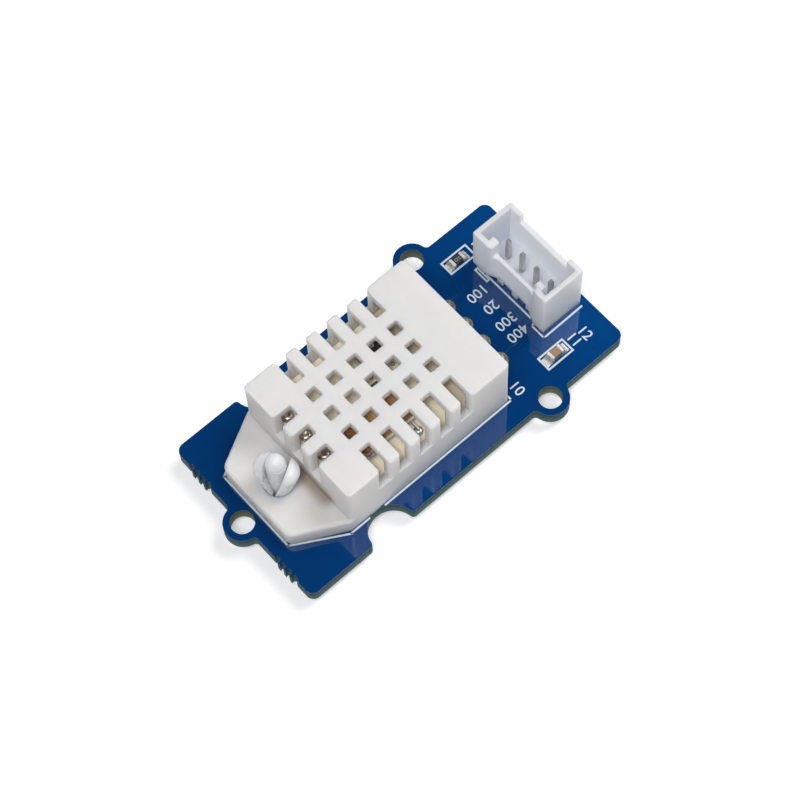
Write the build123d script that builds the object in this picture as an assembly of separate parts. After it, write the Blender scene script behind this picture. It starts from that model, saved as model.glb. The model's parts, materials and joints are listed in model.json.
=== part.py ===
from build123d import *
import os

# Temperature and humidity sensor module: a board with three mounting ears, a vented sensor
# housing held by a split push rivet, a four pin socket, one resistor and one capacitor.
# Millimetres, +Z up. The board's long side runs along X and the socket is at its +X end.
# Until the last step the board's middle is X = Y = 0 and its top face is Z = 0.

# Main board
board_length = 40.0
board_width = 20.0
board_thickness = 1.6
board_corner_radius = 0.85
standoff = 1.2

# Mounting ears, one on the end edge and two on the side edges
ear_radius = 1.9
ear_hole_radius = 1.2
ear_root_radius = 0.5
side_ear_inset = 9.8

# Round notches in the side edges
notch_radius = 2.45
notch_inset = 10.1
notch_mouth_radius = 0.4

# Scallops where the board was broken out of its panel
scallop_count = 4
scallop_pitch = 0.84
scallop_radius = 0.3
scallop_group_offset = 6.3
knuckle_height = 0.18

# Sensor housing
body_length = 20.05
body_width = 15.12
body_height = 7.9
body_corner_radius = 0.5
body_draft = 0.06
body_wall = 1.0
roof_thickness = 1.0
ledge_height = 4.1
roof_edge_radius = 0.4
vent_edge_radius = 0.12

# Vents: square windows in the roof, slots over both side walls and notches in the end wall
vent_width = 1.2
vent_rows = 5
vent_columns = 3
column_pitch = 2.55
first_row_inset = 5.47
last_row_inset = 4.5
end_notch_length = 2.13
rib_corner_radius = 0.4
vent_corner_radius = 0.12

# Fixing tab of the housing
tab_inset = 1.75
tab_length = 5.35
tab_end_width = 9.45
tab_thickness = 2.2
tab_corner_radius = 1.1
tab_edge_radius = 0.4

# Back cover and inner circuit board of the sensor
cover_thickness = 0.8
cover_clearance = 0.05
cover_post_radius = 0.8
cover_post_inset = 1.4
cover_post_clearance = 0.4
inner_board_thickness = 1.2
inner_board_height = 2.8
inner_board_clearance = 0.05

# Push rivet: split sleeve and centre pin, pushed in from below
rivet_inset = 2.95
rivet_head_radius = 2.5
rivet_shank_radius = 1.45
rivet_hole_clearance = 0.05
rivet_pin_radius = 1.0
rivet_running_clearance = 0.03
rivet_pin_head_radius = 1.6
rivet_pin_head_thickness = 0.6
rivet_pin_recess = 0.08
rivet_pin_top = 7.85
rivet_pin_tip_radius = 0.93
rivet_pin_tip_length = 1.3
leg_length = 4.2
leg_crown_height = 0.95
leg_tip_radius = 0.7
leg_slit_width = 0.24
leg_spread_degrees = 14.0
leg_turn_degrees = 31.0

# Bent pins of the sensor
sensor_pin_count = 4
sensor_pin_pitch = 2.54
sensor_pin_side = 0.5
sensor_pin_reach = 2.1
sensor_pin_straight = 0.4
sensor_pin_inner_length = 2.5
sensor_pin_bend_radius = 0.35
sensor_pin_hole_clearance = 0.05
sensor_pin_trim = 0.1

# Solder joints round the pins
solder_hole_radius = 0.5
solder_hole_clearance = 0.02
solder_cone_radius = 0.85
solder_tip_radius = 0.42
solder_cone_height = 0.8
solder_dome_radius = 0.73
solder_dome_tip_radius = 0.45
solder_dome_height = 0.45

# Socket for the cable
socket_width = 5.05
socket_length = 10.2
socket_height = 6.6
socket_edge_gap = 0.64
socket_offset = 0.58
socket_wall = 0.55
socket_floor = 1.0
socket_corner_radius = 0.2
socket_rim_radius = 0.12
socket_opening_start = 1.75
socket_opening_end = 1.8
socket_back_height = 5.35
socket_front_height = 4.8
socket_front_thickness = 0.89
socket_front_edge_radius = 0.1
socket_recess_start = 2.52
socket_recess_end = 3.15
socket_recess_depth = 0.48
socket_recess_slant = 1.0
socket_foot_band = 1.4
socket_foot_setback = 0.08
socket_undercut_depth = 0.35
socket_undercut_height = 0.7
socket_post_length = 0.95
socket_post_depth = 0.75
socket_post_reach_low = 0.4
socket_post_reach_high = 0.75
socket_post_corner_radius = 0.2
socket_post_top_radius = 0.3
socket_foot_gap_count = 3
socket_foot_gap = 1.3
socket_foot_gap_offset = 0.64
socket_foot_gap_height = 0.85
socket_foot_gap_depth = 1.6
socket_pin_count = 4
socket_pin_pitch = 2.0
socket_pin_side = 0.42
socket_pin_height = 4.35
socket_pin_taper = 0.12
socket_pin_setback = 2.2
socket_pin_clearance = 0.01

# Surface mounted resistor and capacitor
chip_length = 1.6
chip_cap_length = 0.32
chip_cap_wrap = 0.02
resistor_width = 0.85
resistor_height = 0.5
resistor_socket_step_x = 0.86
resistor_socket_step_y = 1.22
resistor_solder_length = 0.45
resistor_solder_height = 0.36
capacitor_width = 0.85
capacitor_height = 0.8
capacitor_socket_step_x = 0.71
capacitor_socket_step_y = 2.53
capacitor_solder_length = 0.6
capacitor_solder_height = 0.42
chip_solder_overhang = 0.08

# Humidity element: a film on a plate that stands on two leads at its near edge
humidity_length = 5.2
humidity_width = 4.2
humidity_plate_thickness = 0.5
humidity_plate_lift = 0.45
humidity_film_thickness = 0.06
humidity_film_margin = 0.2
humidity_inset_x = 7.2
humidity_inset_y = 2.06
humidity_lead_count = 2
humidity_lead_inset = 1.6
humidity_lead_pitch = 1.3
humidity_lead_reach = 1.0
humidity_bump_radius = 0.52
humidity_bump_height = 0.4
lead_radius = 0.18

# Temperature bead, lying across the housing on its two leads
bead_radius = 0.7
bead_length = 3.4
bead_end_radius = 0.5
bead_lift = 1.25
bead_gap = 0.65
bead_lead_straight = 0.45

# Solder bumps in a row under the end notches, the first two with a lead of the bead
bump_count = 4
bump_pitch = 2.65
bump_offset_y = -0.12
bump_inset = 1.15
bump_radius = 0.65
bump_height = 0.5
bump_dimple_radius = 0.3
bump_dimple_depth = 0.15

# Controller chip on the inner circuit board
controller_length = 3.85
controller_width = 3.6
controller_height = 1.1
controller_lift = 0.1
controller_inset_x = 6.28
controller_inset_y = 2.91
controller_lead_count = 3
controller_lead_pitch = 1.27
controller_lead_width = 0.4
controller_lead_thickness = 0.15
controller_lead_reach = 0.4

# Small resistors on the inner circuit board
inner_resistor_width = 0.8
inner_resistor_height = 0.4
inner_resistor_gap = 0.95
inner_resistor_step_inner = 2.88
inner_resistor_step_outer = 4.72

# Places that follow from the sizes above
left_edge = -board_length / 2
right_edge = board_length / 2
board_bottom = -board_thickness
rest_plane = board_bottom - standoff
tab_end = left_edge + tab_inset
body_start = tab_end + tab_length
body_end = body_start + body_length
body_middle = (body_start + body_end) / 2
rivet_x = tab_end + rivet_inset
rivet_hole_radius = rivet_shank_radius + rivet_hole_clearance
rivet_bore_radius = rivet_pin_radius + rivet_running_clearance
cavity_start = body_start + body_wall
cavity_end = body_end - body_wall
cavity_half_width = body_width / 2 - body_wall
cavity_top = body_height - roof_thickness
inner_board_top = inner_board_height + inner_board_thickness
row_pitch = (body_length - first_row_inset - last_row_inset) / (vent_rows - 1)
vent_row_places = [body_end - first_row_inset - i * row_pitch for i in range(vent_rows)]
vent_column_places = [(i - (vent_columns - 1) / 2) * column_pitch for i in range(vent_columns)]
side_slot_start = (vent_columns + 1) / 2 * column_pitch - vent_width / 2
end_notch_end = body_start + end_notch_length
sensor_pin_x = body_end + sensor_pin_reach
sensor_pin_start = body_end - sensor_pin_inner_length
sensor_pin_places = [
    (i - (sensor_pin_count - 1) / 2) * sensor_pin_pitch for i in range(sensor_pin_count)
]
socket_end = right_edge - socket_edge_gap
socket_start = socket_end - socket_width
socket_low = socket_offset - socket_length / 2
socket_high = socket_offset + socket_length / 2
socket_pin_x = socket_end - socket_pin_setback
socket_pin_places = [
    socket_offset + ((socket_pin_count - 1) / 2 - i) * socket_pin_pitch
    for i in range(socket_pin_count)
]
bump_x = cavity_start + bump_inset
bump_places = [
    bump_offset_y + (i - (bump_count - 1) / 2) * bump_pitch for i in range(bump_count)
]
humidity_end = cavity_end - humidity_inset_x
humidity_start = humidity_end - humidity_length
humidity_low = humidity_inset_y - cavity_half_width
humidity_high = humidity_low + humidity_width
humidity_base = inner_board_top + humidity_plate_lift
humidity_top = humidity_base + humidity_plate_thickness
humidity_lead_places = [
    humidity_end - humidity_lead_inset - i * humidity_lead_pitch
    for i in range(humidity_lead_count)
]
bead_x = humidity_start - bead_gap - bead_radius
bead_y = humidity_low + bead_length / 2
bead_z = inner_board_top + bead_lift
controller_x = cavity_end - controller_inset_x
controller_y = cavity_half_width - controller_inset_y
inner_resistor_places = [
    controller_x - inner_resistor_step_inner,
    controller_x + inner_resistor_step_outer,
]


def block(low_x, high_x, low_y, high_y, low_z, high_z):
    """A box between two corners."""
    middle = Pos((low_x + high_x) / 2, (low_y + high_y) / 2, (low_z + high_z) / 2)
    return middle * Box(high_x - low_x, high_y - low_y, high_z - low_z)


def drum(x, y, low_z, high_z, radius):
    """An upright cylinder."""
    return Pos(x, y, (low_z + high_z) / 2) * Cylinder(radius, high_z - low_z)


def wire(points, radius):
    """A round wire along straight runs, with a ball at each turn."""
    solid = None
    for start, end in zip(points, points[1:]):
        run = Edge.make_line(start, end)
        disc = Plane(origin=start, z_dir=run % 0) * Circle(radius)
        tube = extrude(disc, amount=run.length)
        solid = tube if solid is None else solid + tube
    for turn in points[1:-1]:
        solid = solid + Pos(*turn) * Sphere(radius)
    return solid


def corners_near(shape, places, reach):
    """The corners of a flat shape that lie close to the given places."""
    return [
        corner
        for corner in shape.vertices()
        if any(abs(corner.X - x) < reach and abs(corner.Y - y) < reach for x, y in places)
    ]


def main_board():
    """The board with its ears, notches, scallops and drilled holes."""
    half_width = board_width / 2
    side_ear_x = right_edge - side_ear_inset
    notch_x = left_edge + notch_inset
    ears = [(left_edge, 0), (side_ear_x, -half_width), (side_ear_x, half_width)]
    outline = RectangleRounded(board_length, board_width, board_corner_radius)
    for x, y in ears:
        outline += Pos(x, y) * Circle(ear_radius)
    for side in (-1, 1):
        outline -= Pos(notch_x, side * half_width) * Circle(notch_radius)
    roots = [(left_edge, -ear_radius), (left_edge, ear_radius)]
    roots += [(side_ear_x + s * ear_radius, t * half_width) for s in (-1, 1) for t in (-1, 1)]
    mouths = [(notch_x + s * notch_radius, t * half_width) for s in (-1, 1) for t in (-1, 1)]
    outline = fillet(corners_near(outline, roots, ear_root_radius / 5), ear_root_radius)
    outline = fillet(corners_near(outline, mouths, notch_mouth_radius / 5), notch_mouth_radius)
    span = (scallop_count - 1) * scallop_pitch
    for side in (-1, 1):
        centre = side * scallop_group_offset
        outline += Pos(left_edge, centre) * Rectangle(2 * knuckle_height, span)
        for i in range(scallop_count):
            bite = Pos(left_edge, centre - span / 2 + i * scallop_pitch)
            outline -= bite * Circle(scallop_radius)
    for x, y in ears:
        outline -= Pos(x, y) * Circle(ear_hole_radius)
    outline -= Pos(rivet_x, 0) * Circle(rivet_hole_radius)
    for y in sensor_pin_places:
        outline -= Pos(sensor_pin_x, y) * Circle(solder_hole_radius)
    for y in socket_pin_places:
        outline -= Pos(socket_pin_x, y) * Circle(solder_hole_radius)
    return Pos(0, 0, board_bottom) * extrude(outline, amount=board_thickness)


def roof_rectangle():
    """The outline of the housing above its ledges, inside the outline at its foot."""
    length = body_length - 2 * body_draft
    width = body_width - 2 * body_draft
    radius = body_corner_radius - body_draft
    return Pos(body_middle, 0) * RectangleRounded(length, width, radius)


def vented_outline():
    """The upper part of the housing seen from above, with its slots, notches and windows."""
    outline = roof_rectangle()
    half_width = body_width / 2 - body_draft
    slot_length = half_width - side_slot_start
    notch_start = body_start + body_draft
    notch_length = end_notch_end - notch_start
    rib_ends = []
    slot_ends = []
    for x in vent_row_places:
        for side in (-1, 1):
            middle = side * (side_slot_start + slot_length / 2)
            outline -= Pos(x, middle) * Rectangle(vent_width, slot_length)
            rib_ends += [(x + s * vent_width / 2, side * half_width) for s in (-1, 1)]
            slot_ends += [(x + s * vent_width / 2, side * side_slot_start) for s in (-1, 1)]
    for y in vent_column_places:
        outline -= Pos(notch_start + notch_length / 2, y) * Rectangle(notch_length, vent_width)
        rib_ends += [(notch_start, y + s * vent_width / 2) for s in (-1, 1)]
        slot_ends += [(end_notch_end, y + s * vent_width / 2) for s in (-1, 1)]
    outline = fillet(corners_near(outline, rib_ends, vent_corner_radius), rib_corner_radius)
    outline = fillet(corners_near(outline, slot_ends, vent_corner_radius), vent_corner_radius)
    for x in vent_row_places:
        for y in vent_column_places:
            window = RectangleRounded(vent_width, vent_width, vent_corner_radius)
            outline -= Pos(x, y) * window
    return outline


def vented_roof():
    """The housing above its ledges: soft outer rim, and a small rounding at every vent."""
    height = body_height - ledge_height
    vented = extrude(vented_outline(), amount=height)
    vented = fillet(vented.faces().sort_by(Axis.Z)[-1].edges(), vent_edge_radius)
    rounded = extrude(roof_rectangle(), amount=height)
    rounded = fillet(rounded.faces().sort_by(Axis.Z)[-1].edges(), roof_edge_radius)
    rim_depth = 2 * roof_edge_radius
    rim_block = Box(body_length + rim_depth, body_width + rim_depth, 2 * rim_depth)
    outside = Pos(body_middle, 0, height) * rim_block - rounded
    return Pos(0, 0, ledge_height) * (vented - outside)


def fixing_tab():
    """The flat tab that the rivet holds, narrower towards its end."""
    root = body_start + body_wall / 2
    half_body = body_width / 2
    half_end = tab_end_width / 2
    corners = [
        (root, -half_body),
        (body_start, -half_body),
        (tab_end, -half_end),
        (tab_end, half_end),
        (body_start, half_body),
        (root, half_body),
    ]
    outline = make_face(Polyline(*corners, close=True))
    ends = [(tab_end, -half_end), (tab_end, half_end)]
    outline = fillet(corners_near(outline, ends, tab_corner_radius / 5), tab_corner_radius)
    tab = extrude(outline, amount=tab_thickness)
    top_edges = tab.faces().sort_by(Axis.Z)[-1].edges()
    rim = [edge for edge in top_edges if edge.center().X < body_start - body_draft]
    return fillet(rim, tab_edge_radius)


def sensor_shell():
    """The vented front shell of the sensor with its fixing tab."""
    foot = Pos(body_middle, 0) * RectangleRounded(body_length, body_width, body_corner_radius)
    lower = loft([foot, Pos(0, 0, ledge_height) * roof_rectangle()])
    shell = lower + fixing_tab()
    shell = shell + vented_roof()
    shell -= block(cavity_start, cavity_end, -cavity_half_width, cavity_half_width, 0, cavity_top)
    shell -= drum(rivet_x, 0, 0, tab_thickness, rivet_hole_radius)
    reach = sensor_pin_side / 2 + sensor_pin_hole_clearance
    low = inner_board_height - sensor_pin_side - sensor_pin_hole_clearance
    high = inner_board_height + sensor_pin_hole_clearance
    for y in sensor_pin_places:
        shell -= block(cavity_end, body_end, y - reach, y + reach, low, high)
    return shell


def sensor_back_cover():
    """The plate that closes the housing's open back, with four posts for the inner board."""
    start = cavity_start + cover_clearance
    end = cavity_end - cover_clearance
    side = cavity_half_width - cover_clearance
    cover = block(start, end, -side, side, 0, cover_thickness)
    front_post_x = sensor_pin_start - cover_post_clearance - cover_post_radius
    for x in (start + cover_post_inset, front_post_x):
        for y in (-side + cover_post_inset, side - cover_post_inset):
            cover += drum(x, y, cover_thickness, inner_board_height, cover_post_radius)
    return cover


def sensor_circuit_board():
    """The small board inside the housing."""
    start = cavity_start + inner_board_clearance
    end = cavity_end - inner_board_clearance
    side = cavity_half_width - inner_board_clearance
    return block(start, end, -side, side, inner_board_height, inner_board_top)


def humidity_plate():
    """The ceramic plate of the humidity element."""
    low_x = humidity_start
    return block(low_x, humidity_end, humidity_low, humidity_high, humidity_base, humidity_top)


def humidity_film():
    """The brown moisture sensitive film on the plate."""
    start = humidity_start + humidity_film_margin
    end = humidity_end - humidity_film_margin
    low = humidity_low + humidity_film_margin
    high = humidity_high - humidity_film_margin
    return block(start, end, low, high, humidity_top, humidity_top + humidity_film_thickness)


def humidity_lead(x):
    """A wire from the plate's near side, turned down to the inner board."""
    y = humidity_low - humidity_lead_reach
    height = humidity_base + humidity_plate_thickness / 2
    return wire([(x, y, inner_board_top), (x, y, height), (x, humidity_low, height)], lead_radius)


def thermistor_bead():
    """The resin bead that senses the temperature."""
    bead = Pos(bead_x, bead_y, bead_z) * Rot(90, 0, 0) * Cylinder(bead_radius, bead_length)
    return fillet(bead.edges().filter_by(GeomType.CIRCLE), bead_end_radius)


def thermistor_lead(bump_y, side):
    """A wire from a solder bump to one end of the bead."""
    end = bead_y + side * bead_length / 2
    points = [
        (bump_x, bump_y, inner_board_top),
        (bump_x, bump_y, bead_z),
        (bead_x, end + side * bead_lead_straight, bead_z),
        (bead_x, end, bead_z),
    ]
    return wire(points, lead_radius)


def solder_bump(x, y, radius, height, dimple_radius, dimple_depth):
    """A dome of solder on the inner board, with a dimple in its top."""
    bulge = ((radius + dimple_radius) / 2 + radius / 7, height * 0.7)
    rim = ThreePointArc((radius, 0), bulge, (dimple_radius, height))
    hollow = Line((dimple_radius, height), (0, height - dimple_depth))
    inside = Polyline((0, height - dimple_depth), (0, 0), (radius, 0))
    profile = Plane.XZ * make_face(rim.edges() + hollow.edges() + inside.edges())
    return Pos(x, y, inner_board_top) * revolve(profile, Axis.Z)


def controller_chip():
    """The moulded body of the controller chip."""
    low_x = controller_x - controller_length / 2
    high_x = controller_x + controller_length / 2
    low_y = controller_y - controller_width / 2
    high_y = controller_y + controller_width / 2
    base = inner_board_top + controller_lift
    return block(low_x, high_x, low_y, high_y, base, base + controller_height)


def controller_leads(side):
    """The row of leads along one side of the controller chip, each bent down to the board."""
    x = controller_x + side * controller_length / 2
    outer = x + side * controller_lead_reach
    step = x + side * controller_lead_reach / 2
    middle = inner_board_top + controller_lift + controller_height / 2
    half = controller_lead_thickness / 2
    span = (controller_lead_count - 1) * controller_lead_pitch
    row = []
    for i in range(controller_lead_count):
        y = controller_y - span / 2 + i * controller_lead_pitch
        low_y = y - controller_lead_width / 2
        high_y = y + controller_lead_width / 2
        lead = block(min(x, step), max(x, step), low_y, high_y, middle - half, middle + half)
        knee = step + side * controller_lead_thickness
        foot_top = inner_board_top + controller_lead_thickness
        lead += block(min(step, knee), max(step, knee), low_y, high_y, inner_board_top, middle + half)
        lead += block(min(knee, outer), max(knee, outer), low_y, high_y, inner_board_top, foot_top)
        row.append(lead)
    return Compound(children=row)


def inner_resistor(x):
    """A small resistor beside the controller chip."""
    half_length = chip_length / 2
    high_y = controller_y - controller_width / 2 - inner_resistor_gap
    low_y = high_y - inner_resistor_width
    top = inner_board_top + inner_resistor_height
    return block(x - half_length, x + half_length, low_y, high_y, inner_board_top, top)


def sensor_pin(y):
    """A square pin that leaves the housing, slopes down and stands in the board."""
    height = inner_board_height - sensor_pin_side / 2
    knee = body_end + sensor_pin_straight
    drop = sensor_pin_x - knee
    path = FilletPolyline(
        (sensor_pin_start, height),
        (knee, height),
        (sensor_pin_x, height - drop),
        (sensor_pin_x, rest_plane + sensor_pin_trim),
        radius=sensor_pin_bend_radius,
    )
    profile = Plane.XZ * trace(path, line_width=sensor_pin_side)
    return Pos(0, y, 0) * extrude(profile, amount=sensor_pin_side / 2, both=True)


def solder_cone(low_radius, high_radius, height):
    """A cone of solder that stands on Z = 0."""
    return Pos(0, 0, height / 2) * Cone(low_radius, high_radius, height)


def solder_joint(x, y, pin_side, shows_above):
    """Solder that fills a drilled hole round a square pin, with a cone below and maybe above."""
    joint = drum(0, 0, board_bottom, 0, solder_hole_radius - solder_hole_clearance)
    cone = solder_cone(solder_cone_radius, solder_tip_radius, solder_cone_height)
    joint += Pos(0, 0, board_bottom) * Rot(180, 0, 0) * cone
    top = 0
    if shows_above:
        top = solder_dome_height
        joint += solder_cone(solder_dome_radius, solder_dome_tip_radius, top)
    reach = pin_side / 2
    joint -= block(-reach, reach, -reach, reach, board_bottom - solder_cone_height, top)
    return Pos(x, y, 0) * joint


def socket_post(front, low_y, high_y):
    """A rounded post at one end of the opening in the socket's front wall."""
    back = socket_start + socket_wall + socket_post_depth
    post = block(front, back, low_y, high_y, socket_floor, socket_height)
    inner = post.edges().filter_by(Axis.Z).sort_by(Axis.X)[-2:]
    post = fillet(inner, socket_post_corner_radius)
    return fillet(post.faces().sort_by(Axis.Z)[-1].edges(), socket_post_top_radius)


def socket_housing():
    """The open topped socket: low front wall set back, stepped back wall and slotted feet."""
    middle_x = (socket_start + socket_end) / 2
    plan = RectangleRounded(socket_width, socket_length, socket_corner_radius)
    housing = extrude(Pos(middle_x, socket_offset) * plan, amount=socket_height)
    housing = fillet(housing.faces().sort_by(Axis.Z)[-1].edges(), socket_rim_radius)
    front = socket_start + socket_wall
    back = socket_end - socket_wall
    low = socket_low + socket_wall
    high = socket_high - socket_wall
    housing -= block(front, back, low, high, socket_floor, socket_height)
    open_low = socket_low + socket_opening_start
    open_high = socket_high - socket_opening_end
    sill = socket_start + socket_front_thickness
    housing -= block(socket_start, front, open_low, open_high, socket_front_height, socket_height)
    housing += block(front, sill, open_low, open_high, socket_floor, socket_front_height)
    low_edge = open_low + socket_post_reach_low
    high_edge = open_high - socket_post_reach_high
    housing += socket_post(front, low_edge - socket_post_length, low_edge)
    housing += socket_post(socket_start, high_edge, high_edge + socket_post_length)
    recess_low = socket_low + socket_recess_start
    recess_high = socket_high - socket_recess_end
    recess_face = socket_start + socket_recess_depth
    recess = Polyline(
        (socket_start, recess_low - socket_recess_slant),
        (recess_face, recess_low),
        (recess_face, recess_high),
        (socket_start, recess_high + socket_recess_slant),
        close=True,
    )
    housing -= extrude(make_face(recess), amount=socket_height)
    foot_face = recess_face + socket_foot_setback
    housing -= block(socket_start, foot_face, recess_low, recess_high, 0, socket_foot_band)
    undercut = socket_start + socket_undercut_depth
    housing -= block(socket_start, undercut, recess_high, socket_high, 0, socket_undercut_height)
    lip = [
        edge
        for edge in housing.edges().filter_by(Axis.Y)
        if edge.center().X < sill + socket_front_edge_radius
        and abs(edge.center().Z - socket_front_height) < socket_front_edge_radius
    ]
    housing = fillet(lip, socket_front_edge_radius)
    housing -= block(back, socket_end, open_low, open_high, socket_back_height, socket_height)
    hole = socket_pin_side / 2 + socket_pin_clearance
    gap_end = socket_start + socket_foot_gap_depth
    first_gap = socket_offset + socket_foot_gap_offset - socket_pin_pitch
    for i in range(socket_foot_gap_count):
        start = first_gap + i * socket_pin_pitch - socket_foot_gap / 2
        end = start + socket_foot_gap
        housing -= block(socket_start, gap_end, start, end, 0, socket_foot_gap_height)
    for y in socket_pin_places:
        left = socket_pin_x - hole
        right = socket_pin_x + hole
        housing -= block(left, right, y - hole, y + hole, 0, socket_floor)
    return housing


def socket_pin(y):
    """A straight square pin with a tapered top."""
    reach = socket_pin_side / 2
    x = socket_pin_x
    pin = block(x - reach, x + reach, y - reach, y + reach, rest_plane, socket_pin_height)
    return chamfer(pin.faces().sort_by(Axis.Z)[-1].edges(), socket_pin_taper)


def chip_body(x, y, width, height):
    """The bare middle of a surface mounted chip."""
    reach = chip_length / 2 - chip_cap_length
    half = width / 2 - chip_cap_wrap
    return block(x - reach, x + reach, y - half, y + half, chip_cap_wrap, height - chip_cap_wrap)


def chip_cap(x, y, width, height, side):
    """One metal end cap of a surface mounted chip."""
    outer = x + side * chip_length / 2
    inner = outer - side * chip_cap_length
    half = width / 2
    cap = block(min(inner, outer), max(inner, outer), y - half, y + half, 0, height)
    upright = cap.edges().filter_by(Axis.Y).sort_by(Axis.X)
    outside = upright[-2:] if side > 0 else upright[:2]
    return fillet([edge for edge in outside if edge.center().Z > 0], chip_cap_wrap * 4)


def chip_solder(x, y, width, side, length, height):
    """A hollow sided wedge of solder between an end cap and its pad."""
    wall = x + side * chip_length / 2
    toe = wall + side * length
    middle = ((wall + toe) / 2 - side * length / 8, height / 3)
    slope = ThreePointArc((toe, 0), middle, (wall, height))
    profile = Plane.XZ * make_face(slope.edges() + Polyline((wall, height), (wall, 0), (toe, 0)).edges())
    half = width / 2 + chip_solder_overhang
    return Pos(0, y, 0) * extrude(profile, amount=half, both=True)


def rivet_leg():
    """One leg of the sleeve: half a round bar with a rounded end, leaning out along +Y."""
    shoulder = leg_length - leg_crown_height
    lean_in = (rivet_shank_radius - leg_tip_radius) / 4
    crown = ThreePointArc(
        (rivet_shank_radius, shoulder),
        (rivet_shank_radius - lean_in, shoulder + leg_crown_height * 0.65),
        (leg_tip_radius, leg_length),
    )
    inside = Polyline(
        (leg_tip_radius, leg_length),
        (0, leg_length),
        (0, 0),
        (rivet_shank_radius, 0),
        (rivet_shank_radius, shoulder),
    )
    bar = revolve(Plane.XZ * make_face(crown.edges() + inside.edges()), Axis.Z)
    reach = rivet_shank_radius
    half = block(-reach, reach, leg_slit_width / 2, reach, 0, leg_length)
    return Rot(-leg_spread_degrees, 0, 0) * (bar & half)


def rivet_sleeve():
    """The rivet's sleeve: a head below the board and two spread legs above the tab."""
    sleeve = drum(0, 0, rest_plane, board_bottom, rivet_head_radius)
    sleeve += drum(0, 0, board_bottom, tab_thickness, rivet_shank_radius)
    for turn in (0, 180):
        place = Pos(0, 0, tab_thickness) * Rot(0, 0, leg_turn_degrees + turn)
        sleeve += place * rivet_leg()
    sleeve -= drum(0, 0, rest_plane, tab_thickness + leg_length, rivet_bore_radius)
    reach = rivet_shank_radius
    half_slit = leg_slit_width / 2
    slit = block(-reach, reach, -half_slit, half_slit, 0, tab_thickness)
    sleeve -= Rot(0, 0, leg_turn_degrees) * slit
    recess = rivet_pin_recess + rivet_pin_head_thickness + rivet_running_clearance
    recess_radius = rivet_pin_head_radius + rivet_running_clearance
    sleeve -= drum(0, 0, rest_plane, rest_plane + recess, recess_radius)
    return Pos(rivet_x, 0, 0) * sleeve


def rivet_pin():
    """The rivet's centre pin: a flat head in the sleeve's recess and a domed, stepped tip."""
    base = rest_plane + rivet_pin_recess
    head_top = base + rivet_pin_head_thickness
    step = rivet_pin_top - rivet_pin_tip_length
    dome = rivet_pin_top - rivet_pin_tip_radius
    pin = drum(0, 0, base, head_top, rivet_pin_head_radius)
    pin += drum(0, 0, head_top, step, rivet_pin_radius)
    pin += drum(0, 0, step, dome, rivet_pin_tip_radius)
    pin += Pos(0, 0, dome) * Sphere(rivet_pin_tip_radius)
    return Pos(rivet_x, 0, 0) * pin


def all_nodes():
    """Every piece of the module under its name, in the board's own frame."""
    nodes = {
        "main_board": main_board(),
        "sensor_shell": sensor_shell(),
        "sensor_back_cover": sensor_back_cover(),
        "sensor_circuit_board": sensor_circuit_board(),
        "humidity_plate": humidity_plate(),
        "humidity_film": humidity_film(),
        "thermistor_bead": thermistor_bead(),
        "controller_chip": controller_chip(),
        "controller_leads_inner": controller_leads(-1),
        "controller_leads_outer": controller_leads(1),
        "socket_housing": socket_housing(),
        "rivet_sleeve": rivet_sleeve(),
        "rivet_pin": rivet_pin(),
    }
    for i, x in enumerate(humidity_lead_places):
        lead = humidity_lead(x)
        y = humidity_low - humidity_lead_reach
        bump = solder_bump(x, y, humidity_bump_radius, humidity_bump_height, lead_radius, 0)
        nodes[f"humidity_lead_{i + 1}"] = lead
        nodes[f"humidity_solder_{i + 1}"] = bump - lead
    leads = [thermistor_lead(bump_places[0], -1), thermistor_lead(bump_places[1], 1)]
    for i, y in enumerate(bump_places):
        bump = solder_bump(
            bump_x, y, bump_radius, bump_height, bump_dimple_radius, bump_dimple_depth
        )
        if i < len(leads):
            nodes[f"thermistor_lead_{i + 1}"] = leads[i]
            bump -= leads[i]
        nodes[f"inner_solder_{i + 1}"] = bump
    for i, x in enumerate(inner_resistor_places):
        nodes[f"inner_resistor_{i + 1}"] = inner_resistor(x)
    for i, y in enumerate(sensor_pin_places):
        nodes[f"sensor_pin_{i + 1}"] = sensor_pin(y)
        nodes[f"sensor_solder_{i + 1}"] = solder_joint(sensor_pin_x, y, sensor_pin_side, True)
    for i, y in enumerate(socket_pin_places):
        nodes[f"socket_pin_{i + 1}"] = socket_pin(y)
        nodes[f"socket_solder_{i + 1}"] = solder_joint(socket_pin_x, y, socket_pin_side, False)
    resistor = (socket_start - resistor_socket_step_x, socket_high + resistor_socket_step_y)
    capacitor = (socket_start - capacitor_socket_step_x, socket_low - capacitor_socket_step_y)
    chips = {
        "resistor": (resistor, resistor_width, resistor_height, resistor_solder_length,
                     resistor_solder_height),
        "capacitor": (capacitor, capacitor_width, capacitor_height, capacitor_solder_length,
                      capacitor_solder_height),
    }
    for name, ((x, y), width, height, solder_length, solder_height) in chips.items():
        nodes[f"{name}_body"] = chip_body(x, y, width, height)
        for i, side in enumerate((-1, 1)):
            nodes[f"{name}_cap_{i + 1}"] = chip_cap(x, y, width, height, side)
            solder = chip_solder(x, y, width, side, solder_length, solder_height)
            nodes[f"{name}_solder_{i + 1}"] = solder
    return nodes


# The last step puts X = Y = 0 in the middle of the module's outline and Z = 0 under the
# rivet's head and the socket's pins, on which the module rests.
os.makedirs("parts", exist_ok=True)
to_row_frame = Pos(ear_radius / 2, 0, -rest_plane)
for node_name, solid in all_nodes().items():
    export_step(to_row_frame * solid, f"parts/{node_name}.step")
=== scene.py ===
"""Dresses a packed temperature and humidity sensor module and lights it on a pale table."""

import json
import logging
import math
from dataclasses import dataclass
from enum import Enum
from functools import reduce
from typing import Any, Iterable, Sequence, Union

import bpy
from mathutils import Matrix, Vector

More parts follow.
